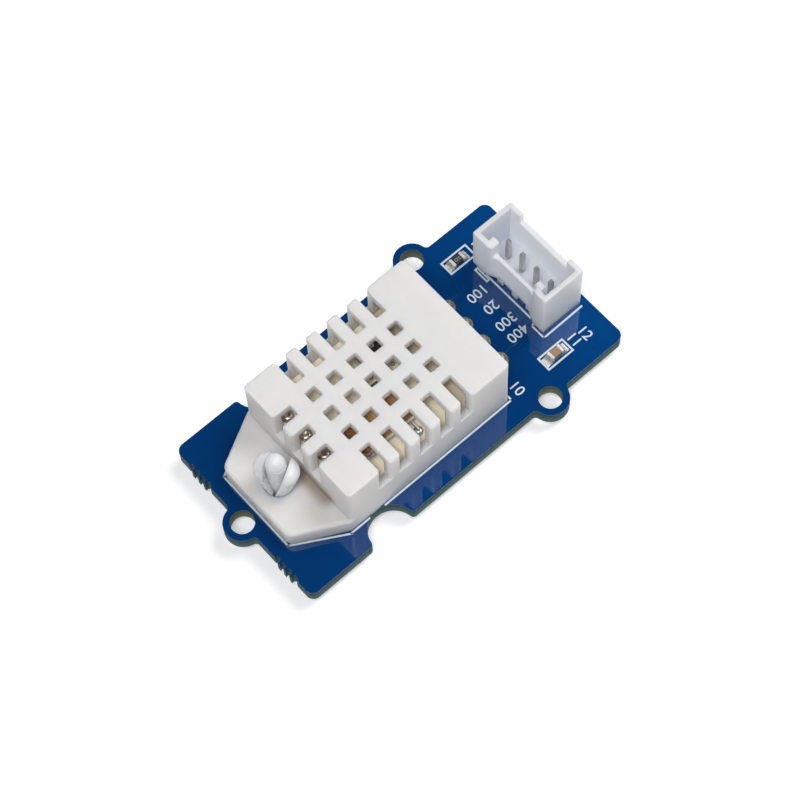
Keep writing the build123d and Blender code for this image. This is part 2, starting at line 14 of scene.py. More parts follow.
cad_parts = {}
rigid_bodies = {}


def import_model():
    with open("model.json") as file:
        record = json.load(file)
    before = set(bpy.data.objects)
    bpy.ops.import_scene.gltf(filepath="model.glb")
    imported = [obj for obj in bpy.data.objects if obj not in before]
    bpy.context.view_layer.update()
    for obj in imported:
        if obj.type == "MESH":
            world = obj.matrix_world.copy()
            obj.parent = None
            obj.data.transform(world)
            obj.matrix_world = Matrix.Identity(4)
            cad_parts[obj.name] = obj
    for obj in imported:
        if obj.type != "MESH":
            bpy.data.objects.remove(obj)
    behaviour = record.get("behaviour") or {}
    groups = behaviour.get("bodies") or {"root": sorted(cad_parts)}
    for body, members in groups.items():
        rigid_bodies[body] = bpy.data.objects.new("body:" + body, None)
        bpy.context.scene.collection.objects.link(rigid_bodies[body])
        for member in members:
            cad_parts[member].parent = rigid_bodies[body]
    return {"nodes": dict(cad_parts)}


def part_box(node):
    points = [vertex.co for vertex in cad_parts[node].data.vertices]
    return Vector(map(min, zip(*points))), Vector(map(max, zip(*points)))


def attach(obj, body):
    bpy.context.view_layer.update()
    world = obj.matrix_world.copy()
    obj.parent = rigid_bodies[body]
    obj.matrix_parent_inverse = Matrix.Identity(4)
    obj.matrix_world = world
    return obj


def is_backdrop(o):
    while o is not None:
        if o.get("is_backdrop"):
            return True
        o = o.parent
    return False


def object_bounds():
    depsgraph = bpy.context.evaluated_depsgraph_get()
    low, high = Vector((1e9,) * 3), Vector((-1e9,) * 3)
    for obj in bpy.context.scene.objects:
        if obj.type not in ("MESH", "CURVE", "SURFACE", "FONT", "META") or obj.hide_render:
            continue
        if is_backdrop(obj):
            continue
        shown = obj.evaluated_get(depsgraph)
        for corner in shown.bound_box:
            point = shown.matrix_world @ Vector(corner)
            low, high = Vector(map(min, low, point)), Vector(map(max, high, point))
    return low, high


LOG = logging.getLogger("sensor_module")
MM = 0.001
BOARD_SHIFT_X = 0.95
BOARD_TOP = 2.8
BOARD_BOTTOM = 1.2
MODULE = "module"
WELD_REACH = 0.0005
DIGIT_BOLDNESS = 0.006
CURVE_STEPS = 4
RING_STEPS = 32

Operand = Union["Wire", float]
Colour = tuple[float, float, float]
Paint = Union["Wire", Colour]
Point = tuple[float, float]


# ---------------------------------------------------------------- shader writing


class Wire:
    """A value between nodes, on which Python's operators add Math nodes."""

    def __init__(self, sheet: "ShaderSheet", socket: bpy.types.NodeSocket) -> None:
        """Keeps a node's output.

        Args:
            sheet: The material's shader sheet.
            socket: The output that carries the value.
        """
        self.sheet = sheet
        self.socket = socket

    def _math(self, operation: str, *values: Operand) -> "Wire":
        """Adds one Math node.

        Args:
            operation: The Math node's operation.
            values: The values of its sockets, in order.

        Returns:
            The node's result.
        """
        return self.sheet.node("ShaderNodeMath", {"operation": operation}, dict(enumerate(values)))

    def __add__(self, other: Operand) -> "Wire":
        """Returns the sum."""
        return self._math("ADD", self, other)

    def __radd__(self, other: Operand) -> "Wire":
        """Returns the sum, with the number first."""
        return self._math("ADD", other, self)

    def __sub__(self, other: Operand) -> "Wire":
        """Returns the difference."""
        return self._math("SUBTRACT", self, other)

    def __rsub__(self, other: Operand) -> "Wire":
        """Returns the difference, with the number first."""
        return self._math("SUBTRACT", other, self)

    def __mul__(self, other: Operand) -> "Wire":
        """Returns the product."""
        return self._math("MULTIPLY", self, other)

    def __rmul__(self, other: Operand) -> "Wire":
        """Returns the product, with the number first."""
        return self._math("MULTIPLY", other, self)

    def __gt__(self, other: Operand) -> "Wire":
        """Returns 1 where this value is the larger."""
        return self._math("GREATER_THAN", self, other)

    def __lt__(self, other: Operand) -> "Wire":
        """Returns 1 where this value is the smaller."""
        return self._math("LESS_THAN", self, other)

    def __abs__(self) -> "Wire":
        """Returns the size without its sign."""
        return self._math("ABSOLUTE", self)

    def least(self, other: Operand) -> "Wire":
        """Returns the smaller of two values."""
        return self._math("MINIMUM", self, other)

    def most(self, other: Operand) -> "Wire":
        """Returns the larger of two values."""
        return self._math("MAXIMUM", self, other)

    def wave(self) -> "Wire":
        """Returns the sine."""
        return self._math("SINE", self)

    def ramp(self, low: float, high: float) -> "Wire":
        """Adds a smooth step.

        Args:
            low: The value where it starts to rise from 0.
            high: The value where it has reached 1.

        Returns:
            The step.
        """
        settings = {"interpolation_type": "SMOOTHSTEP"}
        inputs = {"Value": self, "From Min": low, "From Max": high}
        return self.sheet.node("ShaderNodeMapRange", settings, inputs)

    def vector(self, operation: str, other: Any, output: int = 0) -> "Wire":
        """Adds one Vector Math node.

        Args:
            operation: The Vector Math node's operation.
            other: The second vector, or the scale.
            output: The output's number, 1 for a number such as a dot product.

        Returns:
            The node's result.
        """
        place: Any = "Scale" if operation == "SCALE" else 1
        settings = {"operation": operation}
        return self.sheet.node("ShaderNodeVectorMath", settings, {0: self, place: other}, output)


@dataclass(frozen=True)
class Track:
    """A copper track under the solder mask, as a row of corners."""

    corners: tuple[Point, ...]
    width: float = 0.3
    below: bool = False


class ShaderSheet:
    """The node sheet of one material or world."""

    def __init__(self, owner: bpy.types.Material | bpy.types.World) -> None:
        """Starts an empty sheet.

        Args:
            owner: The material or world that it belongs to.
        """
        owner.use_nodes = True
        self.tree = owner.node_tree
        self.tree.nodes.clear()

    def node(
        self,
        kind: str,
        settings: dict[str, Any] | None = None,
        inputs: dict[Any, Any] | None = None,
        output: Any = 0,
    ) -> Wire:
        """Adds a node.

        Args:
            kind: The node's type.
            settings: Its own settings, set first.
            inputs: The values or wires of its sockets, by name or number.
            output: The output that is wanted, by name or number.

        Returns:
            The wanted output.
        """
        made = self.tree.nodes.new(kind)
        for key, value in (settings or {}).items():
            setattr(made, key, value)
        for key, value in (inputs or {}).items():
            socket = made.inputs[key]
            if isinstance(value, Wire):
                self.tree.links.new(value.socket, socket)
            elif isinstance(value, tuple) and socket.type == "RGBA":
                socket.default_value = (*value, 1.0)
            else:
                socket.default_value = value
        return Wire(self, made.outputs[output])

    def place(self) -> Wire:
        """Returns the point on the surface, in millimetres of the object's own frame."""
        return self.node("ShaderNodeTexCoord", output="Object").vector("SCALE", 1 / MM)

    def axes(self, point: Wire) -> tuple[Wire, Wire, Wire]:
        """Takes a point apart.

        Args:
            point: The point.

        Returns:
            Its x, y and z.
        """
        parts = self.node("ShaderNodeSeparateXYZ", {}, {0: point})
        outputs = parts.socket.node.outputs
        return parts, Wire(self, outputs[1]), Wire(self, outputs[2])

    def noise(self, point: Wire, scale: float, detail: float = 2.0) -> Wire:
        """Adds soft noise.

        Args:
            point: Where it is read.
            scale: Its blotches per millimetre.
            detail: How many finer layers it has.

        Returns:
            The noise, from 0 to 1.
        """
        inputs = {"Vector": point, "Scale": scale, "Detail": detail}
        return self.node("ShaderNodeTexNoise", {}, inputs, "Fac")

    def stretched(self, point: Wire, scale: tuple[float, float, float]) -> Wire:
        """Returns a point with its axes scaled for a grain."""
        return point.vector("MULTIPLY", scale)

    def mix(self, share: Operand, first: Paint, second: Paint) -> Wire:
        """Mixes two colours.

        Args:
            share: How much of the second colour shows.
            first: The colour at 0.
            second: The colour at 1.

        Returns:
            The mixed colour.
        """
        inputs = {0: share, 6: first, 7: second}
        return self.node("ShaderNodeMix", {"data_type": "RGBA"}, inputs, 2)

    def bump(self, height: Wire, depth: float) -> Wire:
        """Returns the normal of a relief.

        Args:
            height: The relief, from 0 to 1.
            depth: Its full depth in millimetres.

        Returns:
            The bent normal.
        """
        inputs = {"Height": height, "Strength": 1.0, "Distance": depth * MM}
        return self.node("ShaderNodeBump", {}, inputs)

    def run_distance(self, point: Wire, start: Point, end: Point) -> Wire:
        """Measures from a straight run, seen from above.

        Args:
            point: The point on the surface.
            start: The run's first end.
            end: Its second end.

        Returns:
            The distance in millimetres.
        """
        flat = point.vector("MULTIPLY", (1.0, 1.0, 0.0))
        away = flat.vector("SUBTRACT", (*start, 0.0))
        run = Vector((end[0] - start[0], end[1] - start[1], 0.0))
        share = away.vector("DOT_PRODUCT", tuple(run), 1) * (1 / run.length_squared)
        held = share.most(0.0).least(1.0)
        along = self.node("ShaderNodeCombineXYZ", {}, {0: held * run.x, 1: held * run.y})
        return away.vector("SUBTRACT", along).vector("LENGTH", (0.0, 0.0, 0.0), 1)

    def spot_distance(self, point: Wire, centre: Point) -> Wire:
        """Measures from an upright line.

        Args:
            point: The point on the surface.
            centre: The line's place, seen from above.

        Returns:
            The distance in millimetres.
        """
        flat = point.vector("MULTIPLY", (1.0, 1.0, 0.0))
        return flat.vector("DISTANCE", (*centre, 0.0), 1)

    def track_distance(self, point: Wire, tracks: Sequence[Track]) -> Wire:
        """Measures from the nearest edge of any track.

        Args:
            point: The point on the surface.
            tracks: The tracks.

        Returns:
            The distance in millimetres, below 0 on a track.
        """
        away = [
            self.run_distance(point, start, end) - track.width / 2
            for track in tracks
            for start, end in zip(track.corners, track.corners[1:])
        ]
        return reduce(Wire.least, away)

    def surface(self, fixed: dict[str, Any], **wires: Paint) -> None:
        """Ends the sheet in one Principled shader.

        Args:
            fixed: Values that are the same all over, by socket name.
            wires: What changes over the surface, by socket name with _ for a space.
        """
        inputs = dict(fixed)
        inputs.update({key.replace("_", " "): value for key, value in wires.items()})
        shader = self.node("ShaderNodeBsdfPrincipled", {}, inputs)
        self.node_output(shader)

    def node_output(self, shader: Wire, kind: str = "ShaderNodeOutputMaterial") -> None:
        """Joins a shader to an output node of the given type."""
        end = self.tree.nodes.new(kind)
        self.tree.links.new(shader.socket, end.inputs["Surface"])


# ---------------------------------------------------------------- finishes


@dataclass(frozen=True)
class Finish:
    """A finish, made into a material the first time that it is used."""

    name: str

    def material(self) -> bpy.types.Material:
        """Makes or finds the material.

        Returns:
            This finish's material.
        """
        found = bpy.data.materials.get(self.name)
        if found is None:
            found = bpy.data.materials.new(self.name)
            self.shade(ShaderSheet(found))
        return found

    def shade(self, sheet: ShaderSheet) -> None:
        """Writes the shader."""
        raise NotImplementedError

    def apply(self, obj: bpy.types.Object) -> None:
        """Puts the finish on every face of an object."""
        obj.data.materials.clear()
        obj.data.materials.append(self.material())


@dataclass(frozen=True)
class MouldedPlastic(Finish):
    """Satin injection moulded plastic with a fine grain, faint mottling and, where a corner is given,
    painted shade along that corner.
    """

    colour: Colour
    tint: Colour
    roughness: float = 0.5
    grain_depth: float = 0.005
    softness: float = 1.0
    reach: float = 1.5
    glow: Colour = (1.0, 0.8, 0.64)
    # Painted shade: where a corner is given, the colour turns warm brown near a line along y at that
    # place, low down, standing in for the shade at the foot of the housing's end wall above the tab.
    corner: Point | None = None
    corner_half: float = 1.6
    corner_fade: Point = (0.1, 1.5)
    corner_top: Point = (5.2, 7.2)
    corner_shade_share: float = 0.75
    corner_shade_colour: Colour = (0.36, 0.27, 0.19)
    cloud_scale: float = 0.35
    cloud_start: float = 0.35
    cloud_gain: float = 1.6
    grain_scale: float = 9.0
    rub_scale: float = 1.7
    rub_gain: float = 0.16
    gloss: float = 0.3

    def shade(self, sheet: ShaderSheet) -> None:
        """Writes the plastic's shader.

        Args:
            sheet: The shader sheet of its material.
        """
        point = sheet.place()
        cloud = sheet.noise(point, self.cloud_scale, 3.0)
        grain = sheet.noise(point, self.grain_scale, 3.0)
        rubbed = sheet.noise(point, self.rub_scale, 4.0)
        colour = sheet.mix((cloud - self.cloud_start) * self.cloud_gain, self.colour, self.tint)
        # Painted shade: darkens the colour near the corner line, below the corner_top heights.
        if self.corner is not None:
            x, y = self.corner
            away = sheet.run_distance(point, (x, y - self.corner_half), (x, y + self.corner_half))
            low = 1 - sheet.axes(point)[2].ramp(*self.corner_top)
            wear_and_painted_shade = (1 - away.ramp(*self.corner_fade)) * low
            colour = sheet.mix(wear_and_painted_shade * self.corner_shade_share, colour, self.corner_shade_colour)
        fixed = {
            "Subsurface Weight": self.softness,
            "Subsurface Radius": self.glow,
            "Subsurface Scale": self.reach * MM,
            "Specular IOR Level": self.gloss,
        }
        sheet.surface(
            fixed,
            Base_Color=colour,
            Roughness=self.roughness + (rubbed - 0.5) * self.rub_gain,
            Normal=sheet.bump(grain, self.grain_depth),
        )


@dataclass(frozen=True)
class CircuitBoard(Finish):
    """Glossy solder mask over copper on both faces, and bare laminate on the edges, with the mask painted
    lighter towards the socket end as a painted reflection.
    """

    mask: Colour
    # The lighter blue of the painted reflection towards the socket end.
    mask_far: Colour
    mask_on_gap: Colour
    laminate: Colour
    laminate_dark: Colour
    laminate_bright: Colour
    tracks: tuple[Track, ...]
    pads: tuple[Point, ...]
    ears: tuple[Point, ...]
    vias: tuple[Point, ...]
    pad_colour: Colour = (0.34, 0.31, 0.2)
    pad_radius: float = 0.92
    via_radius: float = 0.17
    ear_radius: float = 1.45
    gap: float = 0.2
    skin: float = 0.035
    cloud_scale: float = 0.22
    cloud_dark: float = 0.82
    weave_scale: float = 1.6
    weave_stretch: tuple[float, float, float] = (1.0, 1.0, 14.0)
    painted_reflection_run: Point = (10.0, 21.0)
    painted_reflection_share: float = 0.8
    stain_low: float = 0.5
    stain_high: float = 0.3
    relief_depth: float = 0.01
    mask_roughness: float = 0.07
    laminate_roughness: float = 0.6

    def shade(self, sheet: ShaderSheet) -> None:
        """Writes the board's shader.

        Args:
            sheet: The shader sheet of its material.
        """
        point = sheet.place()
        along, _, height = sheet.axes(point)
        middle = (BOARD_TOP + BOARD_BOTTOM) / 2
        above = height > middle
        on_face = abs(height - middle) > (BOARD_TOP - BOARD_BOTTOM) / 2 - self.skin
        gaps = self._gaps(sheet, point, False) * above
        gaps = gaps + self._gaps(sheet, point, True) * (1 - above)
        pits = self._spots(sheet, point, self.vias, self.via_radius)
        pads = self._spots(sheet, point, self.pads, self.pad_radius)
        cloud = sheet.noise(point, self.cloud_scale, 2.0)
        weave = sheet.noise(sheet.stretched(point, self.weave_stretch), self.weave_scale, 3.0)
        # Painted reflection: the mask turns lighter blue towards the socket end.
        painted_reflection = along.ramp(*self.painted_reflection_run) * self.painted_reflection_share
        blue = sheet.mix(gaps, sheet.mix(painted_reflection, self.mask, self.mask_far), self.mask_on_gap)
        blue = sheet.mix(cloud * 0.5, blue, tuple(part * self.cloud_dark for part in self.mask))
        blue = sheet.mix(pits * 0.6, blue, self.mask_on_gap)
        face = sheet.mix(pads, blue, self.pad_colour)
        ears = self._spots(sheet, point, self.ears, self.ear_radius)
        edge = sheet.mix(ears * 0.75, self.laminate, self.laminate_bright)
        stain = height.ramp(BOARD_BOTTOM + self.stain_low, BOARD_TOP - self.stain_high)
        stain = stain * (1 - ears * 0.55)
        edge = sheet.mix((stain * 0.9 + (weave - 0.5) * 0.7).most(0.0), edge, self.laminate_dark)
        relief = (1 - gaps) * (1 - pits) * 0.7 + sheet.noise(point, 2.4, 2.0) * 0.12
        rough_face = self.mask_roughness + sheet.noise(point, 0.9, 3.0) * 0.05 + pads * 0.2
        rough_edge = self.laminate_roughness + weave * 0.25
        sheet.surface(
            {"Specular IOR Level": 0.2, "Coat Roughness": 0.03, "Coat IOR": 1.5},
            Coat_Weight=on_face,
            Base_Color=sheet.mix(on_face, edge, face),
            Roughness=on_face * rough_face + (1 - on_face) * rough_edge,
            Metallic=pads * on_face * 0.8,
            Normal=sheet.bump(on_face * relief + (1 - on_face) * weave, self.relief_depth),
        )

    def _gaps(self, sheet: ShaderSheet, point: Wire, below: bool) -> Wire:
        """Finds the bare gaps beside the tracks.

        Args:
            sheet: The board's shader sheet.
            point: The point on the surface.
            below: Whether the tracks are those of the bottom face.

        Returns:
            1 in the gaps and 0 elsewhere.
        """
        tracks = [track for track in self.tracks if track.below == below]
        distance = sheet.track_distance(point, tracks)
        return (distance > 0.0) * (1 - distance.ramp(self.gap * 0.7, self.gap))

    def _spots(self, sheet: ShaderSheet, point: Wire, places: Sequence[Point], size: float) -> Wire:
        """Finds round spots.

        Args:
            sheet: The board's shader sheet.
            point: The point on the surface.
            places: The spots' middles.
            size: Their radius in millimetres.

        Returns:
            1 in the spots and 0 elsewhere.
        """
        distance = sheet.spot_distance(point, places[0])
        for place in places[1:]:
            distance = distance.least(sheet.spot_distance(point, place))
        return 1 - distance.ramp(size * 0.9, size)


@dataclass(frozen=True)
class InnerLaminate(Finish):
    """The bare beige circuit board inside the sensor, with pale tracks under its lacquer."""

    pale: Colour
    warm: Colour
    copper: Colour
    tracks: tuple[Track, ...]
    warm_run: Point = (-1.0, 7.5)
    edge_blur: float = 0.03
    weave_stretch: tuple[float, float, float] = (5.0, 1.2, 1.0)
    roughness: float = 0.32
    relief_depth: float = 0.02

    def shade(self, sheet: ShaderSheet) -> None:
        """Writes the inner board's shader.

        Args:
            sheet: The shader sheet of its material.
        """
        point = sheet.place()
        along = sheet.axes(point)[0]
        warm = along.ramp(*self.warm_run) * 0.8 + (sheet.noise(point, 0.5, 3.0) - 0.5) * 0.5
        colour = sheet.mix(warm, self.pale, self.warm)
        away = sheet.track_distance(point, self.tracks)
        copper = 1 - away.ramp(-self.edge_blur, self.edge_blur)
        weave = sheet.noise(sheet.stretched(point, self.weave_stretch), 1.2, 3.0)
        sheet.surface(
            {"Specular IOR Level": 0.5},
            Base_Color=sheet.mix(copper * 0.55, colour, self.copper),
            Roughness=self.roughness + weave * 0.25,
            Normal=sheet.bump(copper * 0.7 + weave * 0.3, self.relief_depth),
        )


@dataclass(frozen=True)
class Tin(Finish):
    """Tinned or soldered metal with small ripples and dull patches."""

    colour: Colour = (0.72, 0.71, 0.69)
    dull: Colour = (0.42, 0.41, 0.4)
    roughness: float = 0.24
    ripple: float = 0.02
    streaks: tuple[float, float, float] = (1.0, 1.0, 1.0)
    metallic: float = 1.0
    patch_scale: float = 2.2
    fine_scale: float = 7.0

    def shade(self, sheet: ShaderSheet) -> None:
        """Writes the metal's shader.

        Args:
            sheet: The shader sheet of its material.
        """
        point = sheet.stretched(sheet.place(), self.streaks)
        patches = sheet.noise(point, self.patch_scale, 4.0)
        fine = sheet.noise(point, self.fine_scale, 3.0)
        sheet.surface(
            {"Metallic": self.metallic},
            Base_Color=sheet.mix(patches.ramp(0.4, 0.75), self.colour, self.dull),
            Roughness=self.roughness + patches * 0.2 + fine * 0.08,
            Normal=sheet.bump(fine * 0.5 + patches * 0.5, self.ripple),
        )


@dataclass(frozen=True)
class Ceramic(Finish):
    """Fired ceramic or moulded resin: matt, finely speckled."""

    colour: Colour
    speckle: Colour
    roughness: float = 0.5
    grain_depth: float = 0.012
    coat: float = 0.0
    speck_scale: float = 11.0
    cloud_scale: float = 1.3

    def shade(self, sheet: ShaderSheet) -> None:
        """Writes the ceramic's shader.

        Args:
            sheet: The shader sheet of its material.
        """
        point = sheet.place()
        specks = sheet.noise(point, self.speck_scale, 4.0)
        cloud = sheet.noise(point, self.cloud_scale, 2.0)
        colour = sheet.mix(specks.ramp(0.45, 0.7) * 0.6, self.colour, self.speckle)
        sheet.surface(
            {"Coat Weight": self.coat, "Coat Roughness": 0.08},
            Base_Color=sheet.mix(cloud * 0.3, colour, self.speckle),
            Roughness=self.roughness + (specks - 0.5) * 0.2,
            Normal=sheet.bump(specks, self.grain_depth),
        )


@dataclass(frozen=True)
class HumidityFilm(Finish):
    """The brown moisture film over its comb of electrodes."""

    deep: Colour
    bright: Colour
    comb_colour: Colour = (0.07, 0.03, 0.015)
    comb_pitch: float = 0.36
    comb_share: float = 0.22
    fade_run: Point = (-4.5, -0.5)
    roughness: float = 0.38
    relief_depth: float = 0.015

    def shade(self, sheet: ShaderSheet) -> None:
        """Writes the film's shader.

        Args:
            sheet: The shader sheet of its material.
        """
        point = sheet.place()
        along = sheet.axes(point)[0]
        comb = (along * (2 * math.pi / self.comb_pitch)).wave().ramp(-0.25, 0.25)
        blotches = sheet.noise(point, 1.1, 3.0)
        tone = (1 - along.ramp(*self.fade_run)) * 0.7 + (blotches - 0.5) * 0.8
        colour = sheet.mix(tone, self.deep, self.bright)
        sheet.surface(
            {"Specular IOR Level": 0.5},
            Base_Color=sheet.mix(comb * self.comb_share, colour, self.comb_colour),
            Roughness=self.roughness + blotches * 0.25,
            Normal=sheet.bump(comb * 0.6 + blotches * 0.4, self.relief_depth),
        )


@dataclass(frozen=True)
class Ink(Finish):
    """Screen printed ink: nearly flat, a little uneven at its edges."""

    colour: Colour
    wear_and_painted_shade: Colour
    patch_scale: float = 3.0
    roughness: float = 0.42
    relief_depth: float = 0.004

    def shade(self, sheet: ShaderSheet) -> None:
        """Writes the ink's shader.

        Args:
            sheet: The shader sheet of its material.
        """
        point = sheet.place()
        patches = sheet.noise(point, self.patch_scale, 4.0)
        sheet.surface(
            {"Specular IOR Level": 0.4},
            Base_Color=sheet.mix(patches.ramp(0.45, 0.8), self.colour, self.wear_and_painted_shade),
            Roughness=self.roughness + patches * 0.2,
            Normal=sheet.bump(patches, self.relief_depth),
        )


@dataclass(frozen=True)
class TableTop(Finish):
    """The pale table, whose own white is lifted for the eye so that only the shadow shows."""

    colour: Colour = (0.82, 0.82, 0.82)
    lift: float = 0.36
    cloud_scale: float = 0.02
    cloud_dark: float = 0.985

    def shade(self, sheet: ShaderSheet) -> None:
        """Writes the table's shader.

        Args:
            sheet: The shader sheet of its material.
        """
        outputs = sheet.node("ShaderNodeLightPath").socket.node.outputs
        seen = Wire(sheet, outputs["Is Camera Ray"])
        seen = seen.most(Wire(sheet, outputs["Is Glossy Ray"]))
        seen = seen.most(Wire(sheet, outputs["Is Transmission Ray"]))
        point = sheet.place()
        cloud = sheet.noise(point, self.cloud_scale, 2.0)
        shade = tuple(part * self.cloud_dark for part in self.colour)
        paper = sheet.mix(cloud * 0.3, self.colour, shade)
        diffuse = sheet.node("ShaderNodeBsdfDiffuse", {}, {"Color": paper})
        glow = sheet.node("ShaderNodeEmission", {}, {"Strength": seen * self.lift})
        sheet.node_output(sheet.node("ShaderNodeAddShader", {}, {0: diffuse, 1: glow}))


# ---------------------------------------------------------------- modelling by hand


class Reading(Enum):
    """Which way a line of digits reads on the board."""

    TOWARDS_END = 180.0
    ACROSS = -90.0


class Bench:
    """Adds primitives at their place and shapes them with edit mode operators."""

    @staticmethod
    def clear() -> None:
        """Deselects everything, out of edit mode."""
        if bpy.context.object and bpy.context.object.mode != "OBJECT":
            bpy.ops.object.mode_set(mode="OBJECT")
        bpy.ops.object.select_all(action="DESELECT")

    @staticmethod
    def take(obj: bpy.types.Object) -> None:
        """Makes one object the only selected and the active one.

        Args:
            obj: The object.
        """
        Bench.clear()
        obj.select_set(True)
        bpy.context.view_layer.objects.active = obj

    @staticmethod
    def spot(centre: Point, level: float) -> tuple[float, float, float]:
        """Turns a place on the board into one in the scene.

        Args:
            centre: The place on the board, in millimetres.
            level: Its height above the table in millimetres.

        Returns:
            The place in metres.
        """
        return (centre[0] + BOARD_SHIFT_X) * MM, centre[1] * MM, level * MM

    @staticmethod
    def settle(obj: bpy.types.Object, name: str) -> bpy.types.Object:
        """Names a piece and puts its place into its mesh.

        Args:
            obj: The piece.
            name: Its new name.

        Returns:
            The piece, unturned and unscaled at the origin.
        """
        Bench.take(obj)
        bpy.ops.object.transform_apply(location=True, rotation=True, scale=True)
        obj.name = name
        obj.data.name = name
        return obj

    @staticmethod
    def open_middle(obj: bpy.types.Object, width: float) -> None:
        """Insets a flat piece and takes its middle out, which leaves a rim.

        Args:
            obj: Not used; the flat piece must be active and in object mode.
            width: The rim's width in millimetres.
        """
        bpy.ops.object.mode_set(mode="EDIT")
        bpy.ops.mesh.select_all(action="SELECT")
        bpy.ops.mesh.inset(thickness=width * MM, depth=0.0)
        bpy.ops.mesh.delete(type="FACE")

    @staticmethod
    def raise_faces(obj: bpy.types.Object, height: float) -> None:
        """Extrudes a flat piece upwards and turns its faces outwards.

        Args:
            obj: The flat piece.
            height: The thickness in millimetres.
        """
        Bench.take(obj)
        bpy.ops.object.mode_set(mode="EDIT")
        bpy.ops.mesh.select_all(action="SELECT")
        move = {"value": (0.0, 0.0, height * MM)}
        bpy.ops.mesh.extrude_region_move(TRANSFORM_OT_translate=move)
        bpy.ops.mesh.select_all(action="SELECT")
        bpy.ops.mesh.normals_make_consistent(inside=False)
        bpy.ops.object.mode_set(mode="OBJECT")

    @staticmethod
    def plate(centre: Point, size: Point, level: float, turn: float = 0.0) -> bpy.types.Object:
        """Adds a flat plate.

        Args:
            centre: Its middle on the board, in millimetres.
            size: Its length and width in millimetres.
            level: Its height above the table in millimetres.
            turn: Its turn about the upright, in radians.

        Returns:
            The plate, with its place in its mesh.
        """
        Bench.clear()
        place = Bench.spot(centre, level)
        bpy.ops.mesh.primitive_plane_add(size=1.0, location=place, rotation=(0.0, 0.0, turn))
        obj = bpy.context.object
        obj.scale = (size[0] * MM, size[1] * MM, 1.0)
        return Bench.settle(obj, "plate")

    @staticmethod
    def strip(start: Point, end: Point, width: float, level: float, height: float) -> bpy.types.Object:
        """Adds a printed line from one point to another.

        Args:
            start: Its first end on the board, in millimetres.
            end: Its second end.
            width: Its width.
            level: The height that it lies on.
            height: Its thickness.

        Returns:
            The line.
        """
        run = Vector((end[0] - start[0], end[1] - start[1]))
        middle = ((start[0] + end[0]) / 2, (start[1] + end[1]) / 2)
        turn = math.atan2(run.y, run.x)
        obj = Bench.plate(middle, (run.length + width, width), level, turn)
        Bench.raise_faces(obj, height)
        return obj

    @staticmethod
    def frame_of(low: Point, high: Point, width: float, level: float, height: float) -> bpy.types.Object:
        """Adds a printed rectangle: a plate, inset, opened and extruded.

        Args:
            low: Its lowest corner on the board, in millimetres.
            high: Its highest corner.
            width: The line's width.
            level: The height that it lies on.
            height: Its thickness.

        Returns:
            The rectangle.
        """
        middle = ((low[0] + high[0]) / 2, (low[1] + high[1]) / 2)
        obj = Bench.plate(middle, (high[0] - low[0], high[1] - low[1]), level)
        Bench.open_middle(obj, width)
        Bench.raise_faces(obj, height)
        return obj

    @staticmethod
    def ring(centre: Point, inner: float, outer: float, level: float, height: float) -> bpy.types.Object:
        """Adds a flat ring: a disc, inset, opened and extruded.

        Args:
            centre: Its middle on the board, in millimetres.
            inner: The hole's radius.
            outer: The outside radius.
            level: The height that it lies on.
            height: Its thickness.

        Returns:
            The ring.
        """
        Bench.clear()
        place = Bench.spot(centre, level)
        bpy.ops.mesh.primitive_circle_add(
            vertices=RING_STEPS, radius=outer * MM, fill_type="NGON", location=place
        )
        obj = Bench.settle(bpy.context.object, "ring")
        Bench.open_middle(obj, outer - inner)
        Bench.raise_faces(obj, height)
        return obj

    @staticmethod
    def digits(
        text: str,
        centre: Point,
        tall: float,
        level: float,
        height: float,
        reading: Reading,
        below: bool = False,
    ) -> bpy.types.Object:
        """Adds plain digits, made a mesh before their place is applied.

        Args:
            text: The digits.
            centre: Their middle on the board, in millimetres.
            tall: The size of the letters.
            level: The height of the middle of their thickness.
            height: Their thickness.
            reading: Which way they read.
            below: Whether they are read from below.

        Returns:
            The digits.
        """
        Bench.clear()
        bpy.ops.object.text_add(location=(0.0, 0.0, 0.0))
        obj = bpy.context.object
        obj.data.body = text
        obj.data.align_x = "CENTER"
        obj.data.align_y = "CENTER"
        obj.data.size = tall
        obj.data.extrude = height / 2
        obj.data.offset = tall * DIGIT_BOLDNESS
        obj.data.resolution_u = CURVE_STEPS
        bpy.ops.object.convert(target="MESH")
        obj = bpy.context.object
        flip = math.pi if below else 0.0
        obj.scale = (MM, MM, MM)
        obj.rotation_euler = (flip, 0.0, math.radians(reading.value))
        obj.location = Bench.spot(centre, level)
        return Bench.settle(obj, "digits")

    @staticmethod
    def join(name: str, parts: Sequence[bpy.types.Object]) -> bpy.types.Object:
        """Joins parts into one named piece.

        Args:
            name: The piece's name.
            parts: The parts, of which the first one keeps its place.

        Returns:
            The piece.
        """
        Bench.clear()
        for part in parts:
            part.select_set(True)
        bpy.context.view_layer.objects.active = parts[0]
        bpy.ops.object.join()
        return Bench.settle(bpy.context.object, name)

    @staticmethod
    def smooth_node(obj: bpy.types.Object, angle: float) -> None:
        """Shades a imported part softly, with its sharp edges kept, by live modifiers.

        Args:
            obj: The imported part, whose own mesh stays as it is.
            angle: The smallest turn of a sharp edge, in degrees.
        """
        for polygon in obj.data.polygons:
            polygon.use_smooth = True
        weld = obj.modifiers.new("weld", "WELD")
        weld.merge_threshold = WELD_REACH * MM
        split = obj.modifiers.new("sharp", "EDGE_SPLIT")
        split.split_angle = math.radians(angle)


# ---------------------------------------------------------------- sub-assemblies


